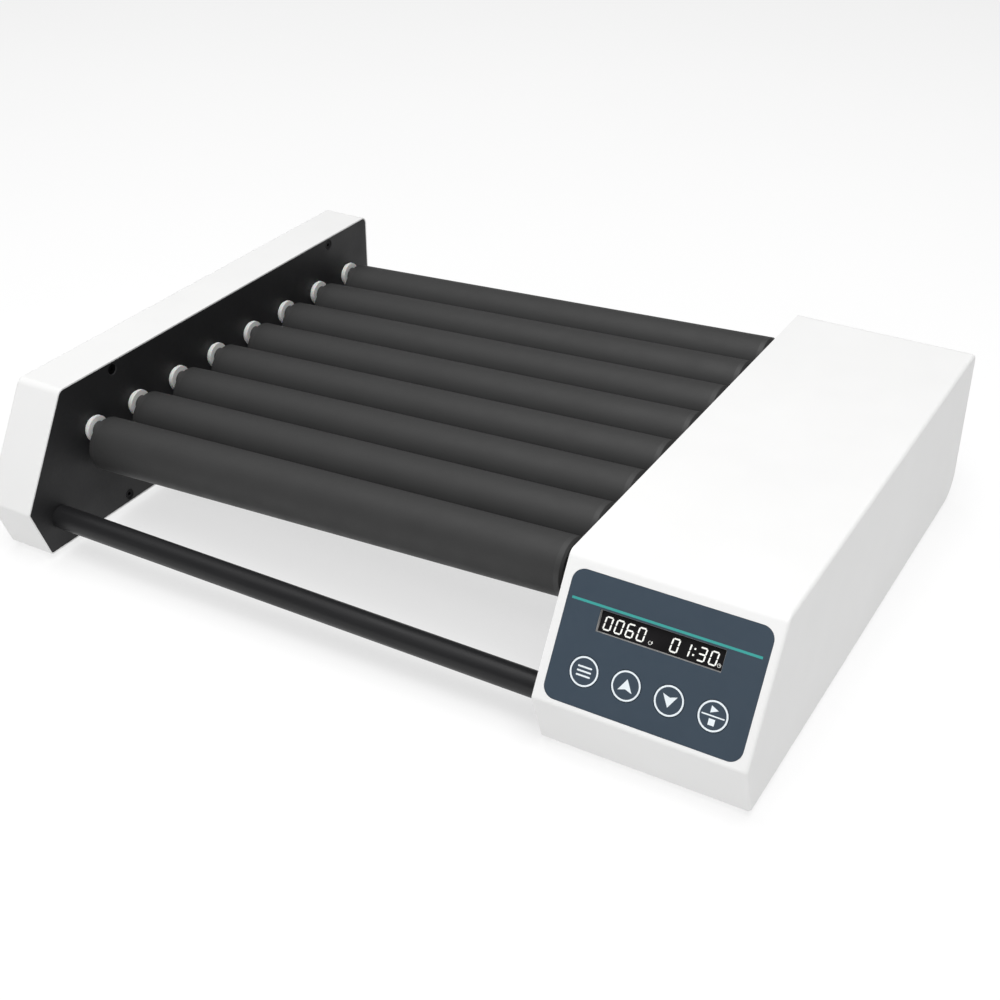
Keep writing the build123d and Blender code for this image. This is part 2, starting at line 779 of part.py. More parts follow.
def panel_key(u):
    """A round key flush with the overlay, on a stem over its switch."""
    face = panel.offset(overlay_thickness - overlay_recess)
    stem_end = board_depth - tact_switch_height - key_travel - turning_gap
    with BuildPart() as key:
        with BuildSketch(face):
            with Locations((u, key_rise)):
                Circle(key_radius)
        extrude(amount=-key_cap)
        with BuildSketch(face.offset(-key_cap)):
            with Locations((u, key_rise)):
                Circle(key_stem_radius)
        extrude(amount=-(stem_end - key_cap))
    return key.part


def display_glass():
    """Display glass behind the wall, wider than its window all round."""
    with BuildPart() as glass:
        with BuildSketch(panel.offset(-glass_depth)):
            with Locations((window_shift, window_rise)):
                Rectangle(window_width + 2 * glass_margin, window_height + 2 * glass_margin)
        extrude(amount=-glass_thickness)
    return glass.part


def display_module():
    """The display's body between its glass and the control board."""
    body_top = glass_depth + glass_thickness
    with BuildPart() as module:
        with BuildSketch(panel.offset(-body_top)):
            with Locations((window_shift, window_rise)):
                Rectangle(
                    window_width + 2 * (glass_margin + display_body_margin),
                    window_height + 2 * (glass_margin + display_body_margin),
                )
        extrude(amount=-(board_depth - body_top))
    return module.part


def control_board():
    """Circuit board parallel to the slope, with a switch under each key."""
    with BuildPart() as board:
        with BuildSketch(panel.offset(-board_depth)):
            with Locations((0, overlay_rise)):
                Rectangle(board_width, board_height)
        extrude(amount=-board_thickness)
        with BuildSketch(panel.offset(-board_depth)):
            with Locations(*[(u, key_rise) for u in key_us]):
                Rectangle(tact_switch_size, tact_switch_size)
        extrude(amount=tact_switch_base)
        with BuildSketch(panel.offset(-board_depth)):
            with Locations(*[(u, key_rise) for u in key_us]):
                Circle(tact_switch_size / 4)
        extrude(amount=tact_switch_height)
        with BuildSketch(panel.offset(-board_depth - board_thickness)):
            with Locations((0, overlay_rise)):
                Rectangle(processor_size, processor_size)
        extrude(amount=-processor_thickness)
    return board.part


# Rear inlet, power switch and supply board

def power_inlet():
    """Three-pin inlet: flange, body, chamfered cavity and upright blades."""
    face = rear_plane(inlet_x, rear_y + inlet_flange, connector_z)
    pin_z = -earth_pin_rise / 2
    pins = [(-pin_spread / 2, pin_z), (pin_spread / 2, pin_z), (0, pin_z + earth_pin_rise)]
    with BuildPart() as inlet:
        with BuildSketch(rear_plane(inlet_x, rear_y, connector_z)):
            RectangleRounded(inlet_flange_width, inlet_flange_height, inlet_corner_radius)
        extrude(amount=inlet_flange)
        with BuildSketch(rear_plane(inlet_x, rear_y, connector_z)):
            Rectangle(inlet_body_width, inlet_body_height)
        extrude(amount=-inlet_body_depth)
        with BuildSketch(face) as cavity:
            Rectangle(cavity_width, cavity_height)
            chamfer(cavity.vertices().group_by(Axis.Y)[-1], cavity_corner)
        extrude(amount=-cavity_depth, mode=Mode.SUBTRACT)
        with BuildSketch(face.offset(-cavity_depth)):
            with Locations(*pins):
                Rectangle(pin_width, pin_height)
        extrude(amount=pin_length)
        with BuildSketch(rear_plane(inlet_x, rear_y - inlet_body_depth, connector_z)):
            with Locations(*pins):
                Rectangle(blade_thickness, blade_width)
        extrude(amount=-blade_length)
    return inlet.part


def power_switch_body():
    """Bezel and body of the rocker switch, with a pivot pin across its window."""
    back_y = rear_y - switch_body_depth
    with BuildPart() as body:
        with BuildSketch(rear_plane(switch_x, rear_y, connector_z)):
            RectangleRounded(bezel_width, bezel_height, bezel_corner)
        extrude(amount=bezel_thickness)
        with BuildSketch(rear_plane(switch_x, rear_y, connector_z)):
            Rectangle(switch_body_width, switch_body_height)
        extrude(amount=-switch_body_depth)
        with BuildSketch(rear_plane(switch_x, rear_y + bezel_thickness, connector_z)):
            Rectangle(rocker_window_width, rocker_window_height)
        extrude(amount=-switch_well, mode=Mode.SUBTRACT)
        with BuildSketch(x_plane(switch_x - rocker_window_width / 2, rocker_pivot_y, connector_z)):
            Circle(rocker_pin_radius)
        extrude(amount=rocker_window_width)
        with BuildSketch(rear_plane(switch_x, back_y, connector_z)):
            with GridLocations(0, switch_blade_spread, 1, 2):
                Rectangle(blade_width, blade_thickness)
        extrude(amount=-blade_length)
    return body.part


def power_switch_rocker():
    """Rocker with two faces that meet in a shallow valley, tilted to off."""
    section = Plane(
        origin=(switch_x - rocker_width / 2, rocker_pivot_y, connector_z),
        x_dir=(0, cos(tilt), -sin(tilt)),
        z_dir=(1, 0, 0),
    )
    half = rocker_half_length
    rim = rocker_edge_rise - rocker_rim
    with BuildPart() as rocker:
        with BuildSketch(section):
            with BuildLine():
                Polyline(
                    (rocker_edge_rise, -half),
                    (rocker_middle_rise, 0),
                    (rocker_edge_rise, half),
                    (rim, half),
                    (-rocker_root, rocker_root),
                    (-rocker_root, -rocker_root),
                    (rim, -half),
                    close=True,
                )
            make_face()
            Circle(rocker_pin_radius + running_gap, mode=Mode.SUBTRACT)
        extrude(amount=rocker_width)
    return rocker.part


def supply_board():
    """Power supply: board, transformer, capacitors and a heat sink."""
    board_z = base_z + housing_wall + supply_post
    top = Plane.XY.offset(board_z + board_thickness)
    capacitor_y = supply_y + supply_length / 2 - capacitor_inset
    heat_sink_y = supply_y - supply_length / 2 + heat_sink_inset
    with BuildPart() as board:
        with BuildSketch(Plane.XY.offset(board_z)):
            with Locations((supply_x, supply_y)):
                Rectangle(supply_width, supply_length)
        extrude(amount=board_thickness)
        with BuildSketch(top):
            with Locations((supply_x, supply_y)):
                Rectangle(transformer_width, transformer_length)
        extrude(amount=transformer_height)
        with BuildSketch(top):
            with Locations(*[(supply_x + side * capacitor_spread / 2, capacitor_y) for side in (-1, 1)]):
                Circle(capacitor_radius)
        extrude(amount=capacitor_height)
        with BuildSketch(top):
            with Locations((supply_x, heat_sink_y)):
                Rectangle(heat_sink_width, heat_sink_thickness)
        extrude(amount=heat_sink_height)
    return board.part


# Build every piece and write one STEP file for each

os.makedirs("parts", exist_ok=True)

save(housing_shell(bay_left_x, left_outer_x), "left_housing")
save(right_housing(), "right_housing")
save(bearing_plate(bay_left_x, 1), "left_bearing_plate")
save(bearing_plate(bay_right_x, -1), "right_bearing_plate")
save(plate_screw_set(bay_left_x, 1), "left_plate_screws")
save(plate_screw_set(bay_right_x, -1), "right_plate_screws")
save(tie_rod(rod_ys[0]), "front_tie_rod")
save(tie_rod(rod_ys[1]), "rear_tie_rod")
save(tie_rod_screw_set(), "tie_rod_screws")
save(rubber_foot_set(), "rubber_feet")
save(foot_screw_set(), "foot_screws")

save(bearing_bush_set(bay_left_x, 1), "left_bearing_bushes")
save(bearing_bush_set(bay_right_x, -1), "right_bearing_bushes")
for number, roller_y in enumerate(roller_ys, start=1):
    save(roller_tube(roller_y), f"roller_{number}_tube")
    save(roller_end_plugs(roller_y), f"roller_{number}_end_plugs")
    save(roller_pulley(roller_y), f"roller_{number}_pulley")

save(drive_belt_set(), "roller_drive_belts")
motor_end = (motor_y, motor_z, motor_seat_radius)
last_roller = (roller_ys[-1], axis_z, pulley_seat_radius)
save(belt(groove_xs[1], motor_end, last_roller), "motor_belt")
save(motor_pulley(), "motor_pulley")
save(motor_shaft(), "motor_shaft")
save(drive_gearbox(), "drive_gearbox")
save(drive_motor_can(), "drive_motor_can")
save(motor_bracket(), "motor_bracket")
save(bracket_screw_set(), "motor_bracket_screws")

save(fascia_overlay(), "fascia_overlay")
for u, key_name in zip(key_us, key_names):
    save(panel_key(u), key_name)
save(display_glass(), "display_glass")
save(display_module(), "display_module")
save(control_board(), "control_board")

save(power_inlet(), "power_inlet")
save(power_switch_body(), "power_switch_body")
save(power_switch_rocker(), "power_switch_rocker")
save(supply_board(), "supply_board")
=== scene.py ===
import json
import math

import bpy
from mathutils import Matrix, Vector


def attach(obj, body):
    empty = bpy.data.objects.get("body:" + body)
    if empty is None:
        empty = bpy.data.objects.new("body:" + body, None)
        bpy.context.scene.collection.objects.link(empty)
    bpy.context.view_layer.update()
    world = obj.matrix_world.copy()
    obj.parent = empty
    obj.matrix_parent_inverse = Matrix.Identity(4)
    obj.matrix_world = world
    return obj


# Looks of the tube roller mixer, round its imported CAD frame.
# Metres, +X along the rollers to the control housing, +Y to the back, +Z up.
# Values that end in _MM are millimetres.

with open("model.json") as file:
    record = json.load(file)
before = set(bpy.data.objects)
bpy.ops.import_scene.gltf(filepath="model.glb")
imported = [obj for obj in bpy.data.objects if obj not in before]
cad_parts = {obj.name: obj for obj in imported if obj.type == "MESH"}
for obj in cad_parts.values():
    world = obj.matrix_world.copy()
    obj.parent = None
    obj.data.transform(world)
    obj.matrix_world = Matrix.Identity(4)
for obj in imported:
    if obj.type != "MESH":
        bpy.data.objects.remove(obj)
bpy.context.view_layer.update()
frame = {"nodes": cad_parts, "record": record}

MM = 0.001

# The photograph's camera
CAMERA_PLACE = Vector((0.3749, -0.6517, 0.4769))
CAMERA_YAW = math.radians(29.566)
CAMERA_PITCH = math.radians(31.560)
CAMERA_ROLL = math.radians(0.2505)
CAMERA_LENS_MM = 56.08
SENSOR_MM = 36.0

# Studio light
WORLD_STRENGTH = 0.22
TOP_BOX_PLACE = (-0.25, 0.1, 1.9)
TOP_BOX_SIZE = 1.8
TOP_BOX_POWER = 20.5
FRONT_BOX_PLACE = (0.5, -0.85, 1.85)
FRONT_BOX_SIZE = 1.4
FRONT_BOX_POWER = 28.0
BOX_TARGET = (0.0, 0.0, 0.05)
FLOOR_COLOUR = (0.33, 0.33, 0.33)
FLOOR_GLOW = 0.65
FLOOR_HALF = 12.0
WHITE = (1.0, 1.0, 1.0, 1.0)

# The control panel's plane: on the slope, over the foremost edge, at the housing's middle
PANEL_ORIGIN = Vector((0.1675, -0.165146, 0.034))
SLOPE_RISE_MM = 60.0
SLOPE_RUN_MM = 35.0
SLOPE_ANGLE = math.atan2(SLOPE_RISE_MM, SLOPE_RUN_MM)
PANEL_RIGHT = Vector((1, 0, 0))
PANEL_UP = Vector((0, math.cos(SLOPE_ANGLE), math.sin(SLOPE_ANGLE)))
PANEL_OUT = Vector((0, -math.sin(SLOPE_ANGLE), math.cos(SLOPE_ANGLE)))
OVERLAY_FACE_MM = -0.1        # overlay's and keys' faces, out from the slope
GLASS_FACE_MM = -2.6          # display glass, behind the wall
PRINT_MM = 0.03               # thickness of a printed mark
WINDOW_MM = (60.0, 10.3)      # display window in the overlay and wall
WINDOW_MIDDLE_MM = (-0.8, 42.95)
GASKET_MM = (0.18, 2.0)       # gasket in the window: its wall, and its height over the glass
GASKET_GAP_MM = 0.05

# Print on the overlay and keys, from the panel's middle and the foremost edge
LINE_LEFT_MM = -45.5
LINE_RIGHT_MM = 45.0
LINE_RISE_MM = 49.45
LINE_WIDTH_MM = 1.15
KEY_PITCH_MM = 20.6
KEY_RISE_MM = 19.05
RING_RADIUS_MM = 6.85
RING_WIDTH_MM = 0.8
ARROW_TIP_MM = 3.1
ARROW_BASE_MM = -2.6
ARROW_NOTCH_MM = -1.5
ARROW_HALF_MM = 3.45
MENU_BAR_MM = (7.0, 0.8)
MENU_BAR_CORNER_MM = 0.392
MENU_STEP_MM = 2.0
DIVIDER_MM = (10.6, 0.6)
SYMBOL_RISE_MM = 2.75
PLAY_HALF_MM = 1.6
PLAY_TIP_MM = 1.92
STOP_SIZE_MM = 2.88

# Seven-segment digits on the display, from the panel's middle and the foremost edge
DIGIT_RISE_MM = 42.45
DIGIT_HEIGHT_MM = 6.6
DIGIT_WIDTH_MM = 3.9
DIGIT_SLANT = math.radians(6.0)
SEGMENT_MM = 0.72
SEGMENT_GAP_MM = 0.12
LIT_SEGMENTS = {"0": "abcdef", "1": "bc", "3": "abgcd", "6": "afgedc"}
SPEED_DIGITS = "0060"
SPEED_PLACES_MM = (-26.6, -21.23, -15.86, -10.49)
TIME_DIGITS = "0130"
TIME_PLACES_MM = (5.6, 11.0, 18.4, 23.85)
COLON_MM = 14.7
COLON_DOT_MM = 0.8
COLON_RISE_MM = 1.4
TURN_ICON_MM = (-5.6, -2.3)
CLOCK_ICON_MM = (26.9, -2.3)
ICON_RADIUS_MM = 0.9
ICON_LINE_MM = 0.22
TURN_ICON_DEGREES = range(80, 361, 20)
TURN_BARB_MM = (0.44, 1.1)    # how far the arrow's head stands out from its line, and its length
CLOCK_HAND_MM = 0.495
CLOCK_SIDES = 32

# The power switch: its rocker's pivot and faces, which meet in a shallow V
ROCKER_PIVOT = Vector((0.1975, 0.158354, 0.052))
ROCKER_TILT = math.radians(11.0)
ROCKER_EDGE_RISE_MM = 5.5
ROCKER_MIDDLE_RISE_MM = 4.2
ROCKER_HALF_LENGTH_MM = 7.3
ROCKER_FACE_ANGLE = math.atan2(ROCKER_EDGE_RISE_MM - ROCKER_MIDDLE_RISE_MM, ROCKER_HALF_LENGTH_MM)
ON_BAR_MM = (0.8, 3.4)
OFF_RING_MM = (1.7, 0.7)

# The bare rating label on the rear wall, over the inlet
LABEL_MIDDLE = Vector((0.1675, 0.159854, 0.077))
LABEL_MM = (52.0, 17.0)
LABEL_CORNER_MM = 1.5
LABEL_BORDER_MM = (48.5, 13.5)
LABEL_RULE_MM = 0.25
LABEL_ROWS = 3


# Camera, lights and floor

def add_camera():
    """The camera that took the photograph, from its place, yaw, pitch and roll."""
    forward = Vector((
        -math.sin(CAMERA_YAW) * math.cos(CAMERA_PITCH),
        math.cos(CAMERA_YAW) * math.cos(CAMERA_PITCH),
        -math.sin(CAMERA_PITCH),
    ))
    level = Vector((math.cos(CAMERA_YAW), math.sin(CAMERA_YAW), 0))
    upright = level.cross(forward)
    right = math.cos(CAMERA_ROLL) * level + math.sin(CAMERA_ROLL) * upright
    up = math.cos(CAMERA_ROLL) * upright - math.sin(CAMERA_ROLL) * level
    turn = Matrix((right, up, -forward)).transposed().to_4x4()
    data = bpy.data.cameras.new("camera")
    data.lens = CAMERA_LENS_MM
    data.sensor_width = SENSOR_MM
    data.clip_start = 0.01
    camera = bpy.data.objects.new("camera", data)
    camera.matrix_world = Matrix.Translation(CAMERA_PLACE) @ turn
    bpy.context.scene.collection.objects.link(camera)
    bpy.context.scene.camera = camera


def add_area_light(name, place, target, size, power):
    """A square soft box at place that faces target."""
    data = bpy.data.lights.new(name, "AREA")
    data.size = size
    data.energy = power
    light = bpy.data.objects.new(name, data)
    facing = (Vector(target) - Vector(place)).to_track_quat("-Z", "Y").to_matrix().to_4x4()
    light.matrix_world = Matrix.Translation(place) @ facing
    bpy.context.scene.collection.objects.link(light)


def add_world(strength):
    """Even white light from all round."""
    world = bpy.data.worlds.new("studio")
    world.use_nodes = True
    background = world.node_tree.nodes["Background"]
    background.inputs["Color"].default_value = WHITE
    background.inputs["Strength"].default_value = strength
    bpy.context.scene.world = world


def add_floor(half_size):
    """A pale floor that glows, so that shadows on it stay faint."""
    mesh = bpy.data.meshes.new("studio_floor")
    corners = [(half_size * i, half_size * j, 0) for i, j in ((-1, -1), (1, -1), (1, 1), (-1, 1))]
    mesh.from_pydata(corners, [], [(0, 1, 2, 3)])
    mesh.materials.append(glowing_paint("floor_pale", FLOOR_COLOUR, 0.8, FLOOR_GLOW))
    floor = bpy.data.objects.new("studio_floor", mesh)
    bpy.context.scene.collection.objects.link(floor)


def add_studio():
    """Two soft boxes, from above and from the front right, over a pale floor."""
    bpy.context.scene.view_settings.view_transform = "Standard"
    add_world(WORLD_STRENGTH)
    add_area_light("top_box", TOP_BOX_PLACE, BOX_TARGET, TOP_BOX_SIZE, TOP_BOX_POWER)
    add_area_light("front_box", FRONT_BOX_PLACE, BOX_TARGET, FRONT_BOX_SIZE, FRONT_BOX_POWER)
    add_floor(FLOOR_HALF)


# Material parts

def start_material(name, roughness, metallic=0.0, specular=0.5):
    """A material with a Principled shader whose constant values sit on its sockets."""
    material = bpy.data.materials.new(name)
    material.use_nodes = True
    shader = material.node_tree.nodes["Principled BSDF"]
    shader.inputs["Roughness"].default_value = roughness
    shader.inputs["Metallic"].default_value = metallic
    shader.inputs["Specular IOR Level"].default_value = specular
    return material, material.node_tree, shader


def place_input(tree, stretch=(1, 1, 1)):
    """The piece's own coordinates, in metres, stretched per axis."""
    coordinates = tree.nodes.new("ShaderNodeTexCoord")
    mapping = tree.nodes.new("ShaderNodeMapping")
    mapping.inputs["Scale"].default_value = stretch
    tree.links.new(coordinates.outputs["Object"], mapping.inputs["Vector"])
    return mapping.outputs["Vector"]


def noise(tree, scale, detail=2.0, stretch=(1, 1, 1), roughness=0.5):
    """Cloudy noise, mostly from 0.3 to 0.7, with scale clouds to the metre."""
    texture = tree.nodes.new("ShaderNodeTexNoise")
    texture.inputs["Scale"].default_value = scale
    texture.inputs["Detail"].default_value = detail
    texture.inputs["Roughness"].default_value = roughness
    tree.links.new(place_input(tree, stretch), texture.inputs["Vector"])
    return texture.outputs["Fac"]


def ramp(tree, factor, low, high, start=0.3, end=0.7):
    """factor, taken from start to end, spread over the range from low to high."""
    spread = tree.nodes.new("ShaderNodeMapRange")
    spread.inputs["From Min"].default_value = start
    spread.inputs["From Max"].default_value = end
    spread.inputs["To Min"].default_value = low
    spread.inputs["To Max"].default_value = high
    tree.links.new(factor, spread.inputs["Value"])
    return spread.outputs["Result"]


def vary_colour(tree, shader, colour, spread, factor):
    """Colour that drifts by spread, as a share, between two tones of the same hue."""
    mix = tree.nodes.new("ShaderNodeMix")
    mix.data_type = "RGBA"
    dark, light = [[min(1.0, c * s) for c in colour] + [1.0] for s in (1 - spread, 1 + spread)]
    mix.inputs["A"].default_value = dark
    mix.inputs["B"].default_value = light
    tree.links.new(ramp(tree, factor, 0.0, 1.0), mix.inputs["Factor"])
    tree.links.new(mix.outputs["Result"], shader.inputs["Base Color"])


def add_bump(tree, shader, height, depth):
    """A bump as deep as depth, in metres."""
    bump = tree.nodes.new("ShaderNodeBump")
    bump.inputs["Strength"].default_value = 1.0
    bump.inputs["Distance"].default_value = depth
    tree.links.new(height, bump.inputs["Height"])
    tree.links.new(bump.outputs["Normal"], shader.inputs["Normal"])


def vary_roughness(tree, shader, factor, roughness):
    """Roughness that follows factor between the two values of roughness."""
    tree.links.new(ramp(tree, factor, *roughness), shader.inputs["Roughness"])


# Materials. Where roughness is a pair, it drifts between the two.

TURNED = (1, 6, 6)            # stretch of the tool marks that run round a turned piece


def glowing_paint(name, colour, roughness, glow):
    """Matte paint with a slow drift of tone, and a light of its own."""
    material, tree, shader = start_material(name, roughness, specular=0.1)
    vary_colour(tree, shader, colour, 0.01, noise(tree, 3.0))
    shader.inputs["Emission Color"].default_value = WHITE
    shader.inputs["Emission Strength"].default_value = glow
    return material


def moulded_plastic(name, colour, roughness, grain=1500.0, depth=0.00002):
    """Spark-textured moulding: fine grain, slow drift of tone, uneven gloss."""
    material, tree, shader = start_material(name, max(roughness))
    vary_colour(tree, shader, colour, 0.015, noise(tree, 14.0, 3.0))
    vary_roughness(tree, shader, noise(tree, 60.0, 4.0), roughness)
    add_bump(tree, shader, noise(tree, grain, 3.0, roughness=0.6), depth)
    return material


def powder_coat(name, colour):
    """Black powder coat on sheet: orange-peel relief and fine pale specks."""
    material, tree, shader = start_material(name, 0.5, specular=0.3)
    vary_colour(tree, shader, colour, 0.12, noise(tree, 420.0, 4.0, roughness=0.7))
    vary_roughness(tree, shader, noise(tree, 35.0, 5.0), (0.42, 0.6))
    add_bump(tree, shader, noise(tree, 700.0, 3.0, roughness=0.6), 0.00006)
    return material


def turned_sleeve(name, colour, roughness):
    """A sleeve ground on a lathe: faint rings round it, drawn out across its length."""
    material, tree, shader = start_material(name, max(roughness), specular=0.35)
    vary_colour(tree, shader, colour, 0.04, noise(tree, 30.0, 5.0, roughness=0.65))
    vary_roughness(tree, shader, noise(tree, 90.0, 3.0), roughness)
    add_bump(tree, shader, noise(tree, 1.0, 2.0, stretch=(3200.0, 90.0, 90.0)), 0.00001)
    return material


def drawn_rod(name, colour):
    """Black-coated rod with faint lines along its length."""
    material, tree, shader = start_material(name, 0.4, specular=0.3)
    vary_colour(tree, shader, colour, 0.1, noise(tree, 1.0, 4.0, stretch=(15.0, 600.0, 600.0)))
    vary_roughness(tree, shader, noise(tree, 1.0, 3.0, stretch=(25.0, 260.0, 260.0)), (0.34, 0.5))
    add_bump(tree, shader, noise(tree, 1.0, 2.0, stretch=(40.0, 1800.0, 1800.0)), 0.000008)
    return material


def worked_metal(name, colour, roughness, scale=220.0, stretch=(1, 1, 1)):
    """Plated or turned metal with clouded gloss and fine tool marks."""
    material, tree, shader = start_material(name, max(roughness), metallic=1.0)
    vary_colour(tree, shader, colour, 0.08, noise(tree, scale, 4.0, stretch))
    vary_roughness(tree, shader, noise(tree, scale * 2, 3.0, stretch), roughness)
    add_bump(tree, shader, noise(tree, scale * 8, 2.0, stretch), 0.00001)
    return material


def soft_rubber(name, colour, roughness):
    """Matte rubber with a dusty bloom and a fine skin."""
    material, tree, shader = start_material(name, roughness, specular=0.25)
    vary_colour(tree, shader, colour, 0.2, noise(tree, 180.0, 5.0, roughness=0.7))
    add_bump(tree, shader, noise(tree, 1600.0, 3.0), 0.00003)
    return material


def nylon(name, colour):
    """Milky nylon that lets a little light through."""
    material, tree, shader = start_material(name, 0.42)
    shader.inputs["Subsurface Weight"].default_value = 0.15
    shader.inputs["Subsurface Scale"].default_value = 0.002
    vary_colour(tree, shader, colour, 0.025, noise(tree, 240.0, 3.0))
    vary_roughness(tree, shader, noise(tree, 500.0, 2.0), (0.36, 0.48))
    add_bump(tree, shader, noise(tree, 2600.0, 2.0), 0.00001)
    return material


def matte_film(name, colour, roughness=0.42):
    """Polyester film with a fine satin texture over a printed ground."""
    material, tree, shader = start_material(name, roughness, specular=0.4)
    vary_colour(tree, shader, colour, 0.025, noise(tree, 45.0, 2.0))
    vary_roughness(tree, shader, noise(tree, 300.0, 2.0), (roughness - 0.04, roughness + 0.05))
    add_bump(tree, shader, noise(tree, 5200.0, 2.0, roughness=0.6), 0.000006)
    return material


def dark_glass(name, colour):
    """Dark display glass with a trace of haze."""
    material, tree, shader = start_material(name, 0.12, specular=0.25)
    vary_colour(tree, shader, colour, 0.3, noise(tree, 60.0, 2.0))
    vary_roughness(tree, shader, noise(tree, 40.0, 3.0), (0.1, 0.18))
    return material


def lit_segment(name, glow):
    """A pale display segment with a slight drift in its tone, lit by glow."""
    material, tree, shader = start_material(name, 0.5)
    vary_colour(tree, shader, (0.86, 0.86, 0.82), 0.03, noise(tree, 900.0, 2.0))
    shader.inputs["Emission Color"].default_value = (0.93, 0.94, 0.9, 1.0)
    shader.inputs["Emission Strength"].default_value = glow
    return material


def circuit_board(name):
    """Green solder mask over paler copper tracks."""
    material, tree, shader = start_material(name, 0.4)
    tracks = tree.nodes.new("ShaderNodeTexVoronoi")
    tracks.distance = "CHEBYCHEV"
    tracks.feature = "DISTANCE_TO_EDGE"
    tracks.inputs["Scale"].default_value = 260.0
    tree.links.new(place_input(tree), tracks.inputs["Vector"])
    mix = tree.nodes.new("ShaderNodeMix")
    mix.data_type = "RGBA"
    mix.inputs["A"].default_value = (0.03, 0.16, 0.05, 1.0)
    mix.inputs["B"].default_value = (0.01, 0.075, 0.03, 1.0)
    tree.links.new(ramp(tree, tracks.outputs["Distance"], 0.0, 1.0, 0.05, 0.09), mix.inputs["Factor"])
    tree.links.new(mix.outputs["Result"], shader.inputs["Base Color"])
    vary_roughness(tree, shader, noise(tree, 300.0, 2.0), (0.32, 0.48))
    add_bump(tree, shader, tracks.outputs["Distance"], 0.00002)
    return material


def make_finishes():
    """One material for each of the record's slots, and those of the printed marks."""
    return {
        "housing_white": moulded_plastic("moulded_white", (0.84, 0.84, 0.836), (0.39, 0.46)),
        "plate_black": powder_coat("powder_coat_black", (0.014, 0.014, 0.015)),
        "screw_black": worked_metal("screw_black_oxide", (0.012, 0.012, 0.013), (0.4, 0.55)),
        "rod_black": drawn_rod("rod_black_coat", (0.013, 0.013, 0.014)),
        "screw_steel": worked_metal("screw_zinc", (0.62, 0.63, 0.65), (0.24, 0.36)),
        "foot_rubber": soft_rubber("foot_rubber_black", (0.022, 0.022, 0.022), 0.75),
        "nylon_white": nylon("nylon_milky", (0.8, 0.8, 0.78)),
        "belt_rubber": soft_rubber("belt_rubber_black", (0.018, 0.018, 0.02), 0.6),
        "gearbox_steel": worked_metal("gearbox_plated", (0.55, 0.56, 0.57), (0.28, 0.4)),
        "motor_steel": worked_metal(
            "motor_can_plated", (0.6, 0.6, 0.6), (0.22, 0.34), scale=160.0, stretch=TURNED),
        "bracket_steel": worked_metal("bracket_zinc", (0.6, 0.62, 0.63), (0.3, 0.45), scale=90.0),
        "overlay_slate": matte_film("film_slate", (0.041, 0.061, 0.085)),
        "display_black": dark_glass("display_glass_black", (0.012, 0.011, 0.012)),
        "display_body": moulded_plastic("display_housing_grey", (0.2, 0.2, 0.2), (0.45, 0.6)),
        "board_green": circuit_board("board_solder_mask"),
        "connector_black": moulded_plastic(
            "connector_black", (0.018, 0.018, 0.018), (0.4, 0.52), grain=2000.0),
        "roller_grey": turned_sleeve("roller_sleeve_grey", (0.034, 0.034, 0.034), (0.5, 0.62)),
        "plug_grey": moulded_plastic("plug_dark_grey", (0.032, 0.032, 0.032), (0.42, 0.55), grain=1800.0),
        "pulley_black": moulded_plastic(
            "pulley_acetal_black", (0.02, 0.02, 0.02), (0.32, 0.45), grain=2200.0),
        "shaft_steel": worked_metal(
            "shaft_ground", (0.66, 0.66, 0.67), (0.16, 0.28), scale=200.0, stretch=TURNED),
        "key_slate": matte_film("key_slate", (0.042, 0.062, 0.087)),
        "rocker_black": moulded_plastic(
            "rocker_gloss_black", (0.014, 0.014, 0.014), (0.2, 0.3), grain=900.0, depth=0.000006),
        "print_white": matte_film("print_white", (0.8, 0.86, 0.9), 0.5),
        "label_satin": matte_film("label_satin", (0.5, 0.51, 0.52), 0.4),
        "label_rule": matte_film("label_rule", (0.06, 0.06, 0.065), 0.45),
        "print_teal": matte_film("print_teal", (0.045, 0.34, 0.315), 0.45),
        "gasket_foam": soft_rubber("gasket_foam_grey", (0.33, 0.325, 0.32), 0.8),
        "segment_lit": lit_segment("segment_lit", 0.25),
        "icon_lit": lit_segment("icon_lit", 0.0),
    }


def dress_cad_nodes(finishes):
    """Give every CAD node the finish that the record's slot for it names."""
    for part in frame["record"]["subparts"]:
        mesh = frame["nodes"][part["node"]].data
        mesh.materials.clear()
        mesh.materials.append(finishes[part["material_slot"]])


# Printed marks

def mark_matrix(origin, right, up):
    """From a mark's own millimetres to origin, with its x along right and its y along up."""
    axes = Matrix((right, up, right.cross(up))).transposed().to_4x4()
    return Matrix.Translation(origin) @ axes @ Matrix.Scale(MM, 4)


def panel_matrix(u, v, lift):
    """From a mark's own millimetres to the panel: u to the right, v up it, lift off it."""
    origin = PANEL_ORIGIN + MM * (u * PANEL_RIGHT + v * PANEL_UP + lift * PANEL_OUT)
    return mark_matrix(origin, PANEL_RIGHT, PANEL_UP)


def add_mark(name, outlines, matrix, material, body, thickness=PRINT_MM):
    """A flat raised mark from closed outlines; an outline inside another is a hole."""
    curve = bpy.data.curves.new(name, "CURVE")
    curve.dimensions = "2D"
    curve.fill_mode = "BOTH"
    curve.extrude = thickness / 2
    for outline in outlines:
        spline = curve.splines.new("POLY")
        spline.points.add(len(outline) - 1)
        for point, (u, v) in zip(spline.points, outline):
            point.co = (u, v, 0.0, 1.0)
        spline.use_cyclic_u = True
    holder = bpy.data.objects.new(name + "_outline", curve)
    bpy.context.scene.collection.objects.link(holder)
    bpy.context.view_layer.update()
    mesh = bpy.data.meshes.new_from_object(holder)
    bpy.data.objects.remove(holder)
    mesh.name = name
    mesh.transform(matrix @ Matrix.Translation((0, 0, thickness / 2)))
    mesh.materials.clear()
    mesh.materials.append(material)
    mark = bpy.data.objects.new(name, mesh)
    bpy.context.scene.collection.objects.link(mark)
    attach(mark, body)


